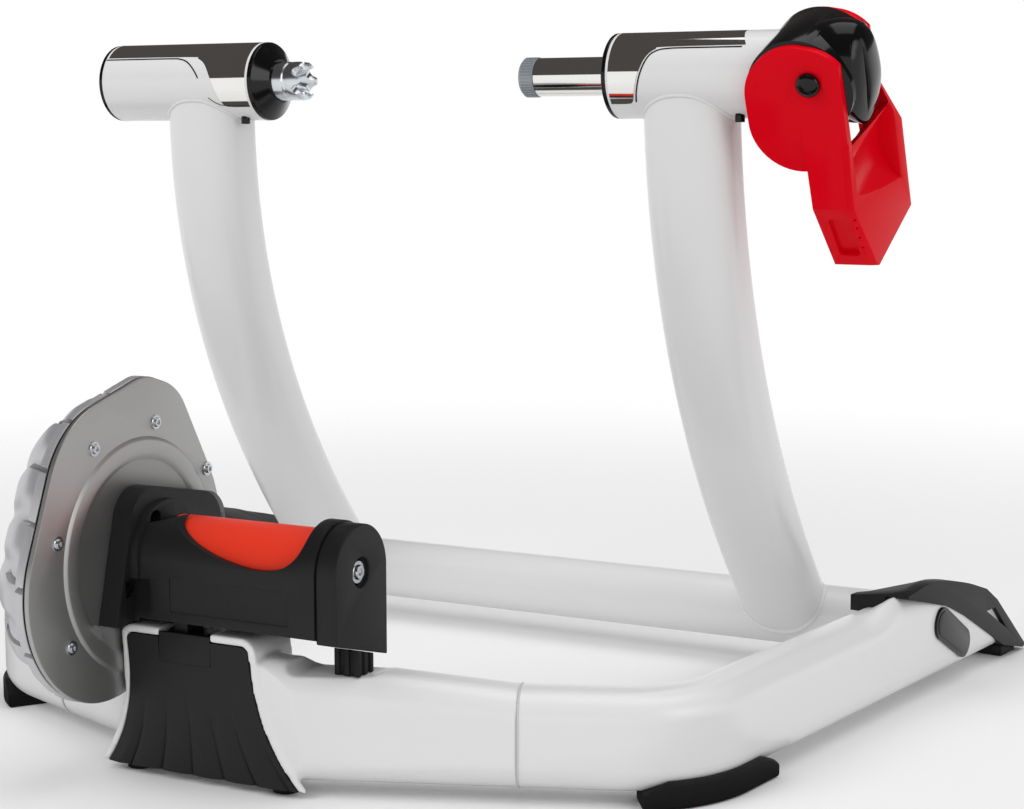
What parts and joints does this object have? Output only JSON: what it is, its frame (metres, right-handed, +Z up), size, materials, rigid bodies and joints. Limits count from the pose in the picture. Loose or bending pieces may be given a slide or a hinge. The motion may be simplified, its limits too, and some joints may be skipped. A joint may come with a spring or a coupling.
{
  "type": "bicycle turbo trainer",
  "caption": "Folding floor stand that clamps a bicycle's rear axle between two uprights, with a roller and fluid resistance unit for the tyre.",
  "frame": {"origin": "on the floor, under the middle of the stand's bounding box", "axes": "+X to the lever side, +Y towards the front of the bicycle, +Z up"},
  "size_m": [0.6426, 0.616, 0.4431],
  "materials": {
    "white_paint": "gloss powder coat",
    "chrome": "polished",
    "zinc": "bright zinc plate",
    "steel": "plain machined",
    "dark_plastic": "fine grain",
    "gloss_black": "gloss",
    "rubber": "matt",
    "red_plastic": "gloss",
    "red_elastomer": "satin",
    "satin_plate": "satin",
    "cast_alloy": "fine cast",
    "grey_tip": "knurled"
  },
  "bodies": {
    "base": {"base_leg_right": "white_paint", "base_leg_left": "white_paint", "base_yoke": "white_paint", "frame_joiner_right": "steel", "frame_joiner_left": "steel", "rear_cover": "dark_plastic", "front_cap_right": "dark_plastic", "front_cap_left": "dark_plastic", "front_foot_right": "rubber", "front_foot_left": "rubber", "corner_pad_right": "rubber", "corner_pad_left": "rubber", "pivot_plug_right": "gloss_black", "pivot_plug_left": "gloss_black", "pivot_bolt_right": "zinc", "pivot_bolt_left": "zinc", "rear_foot_left": "rubber", "rear_foot_right": "rubber", "hinge_bracket": "dark_plastic", "hinge_pin": "steel", "tilt_spring": "steel"},
    "uprights": {"arm_right": "white_paint", "arm_left": "white_paint", "cross_tube": "white_paint", "pivot_bush_right": "dark_plastic", "pivot_bush_left": "dark_plastic", "clamp_tube_right": "white_paint", "bright_sleeve_right": "chrome", "clamp_tube_left": "white_paint", "bright_sleeve_left": "chrome", "end_ring_right": "gloss_black", "end_ring_left": "gloss_black", "end_cap_left": "gloss_black", "screw_nut": "zinc", "rod_guide": "steel", "rod_spring": "steel", "lever_head": "gloss_black", "lever_pin": "steel", "pin_cap_near": "gloss_black", "pin_cap_far": "gloss_black"},
    "left_cup": {"left_cup": "zinc"},
    "left_screw": {"left_screw": "steel"},
    "push_rod": {"rod_tip": "grey_tip", "push_rod": "chrome"},
    "lever": {"lever": "red_plastic", "cam": "steel"},
    "unit": {"roller_cradle": "dark_plastic", "end_bracket": "dark_plastic", "rest_buffer": "rubber", "unit_plate": "satin_plate", "plate_gasket": "rubber", "fluid_housing": "cast_alloy", "bearing_left": "steel", "bearing_right": "steel"},
    "roller": {"roller_shaft": "steel", "roller_core": "cast_alloy", "roller_sleeve": "red_elastomer", "impeller": "steel"}
  },
  "joints": [
    {"name": "uprights_fold", "type": "hinge", "parent": "base", "child": "uprights", "pos_m": [0, 0.18409, 0.0365], "axis": [1, 0, 0], "range_deg": [-6, 34]},
    {"name": "lever_swing", "type": "hinge", "parent": "uprights", "child": "lever", "pos_m": [0.262, 0.00833, 0.40943], "axis": [0, -0.9063, -0.4226], "range_deg": [0, 105]},
    {"name": "rod_slide", "type": "slide", "parent": "uprights", "child": "push_rod", "axis": [1, 0, 0], "range_m": [0, 0.0121]},
    {"name": "left_cup_slide", "type": "slide", "parent": "uprights", "child": "left_cup", "axis": [1, 0, 0], "range_m": [-0.008, 0.01]},
    {"name": "left_screw_turn", "type": "hinge", "parent": "left_cup", "child": "left_screw", "pos_m": [-0.19, 0.01109, 0.4035], "axis": [1, 0, 0], "range_deg": [-1440, 1810]},
    {"name": "unit_tilt", "type": "hinge", "parent": "base", "child": "unit", "pos_m": [0, -0.21991, 0.078], "axis": [1, 0, 0], "range_deg": [0, 8], "stiffness_Nm_per_rad": 15, "springref_deg": -8.59},
    {"name": "roller_spin", "type": "hinge", "parent": "unit", "child": "roller", "pos_m": [0, -0.20651, 0.1284], "axis": [1, 0, 0], "continuous": true}
  ],
  "couplings": [
    {"joint": "rod_slide", "follows": "lever_swing", "m_per_rad": 0.0065481},
    {"joint": "left_screw_turn", "follows": "left_cup_slide", "rad_per_m": 3141.6}
  ]
}
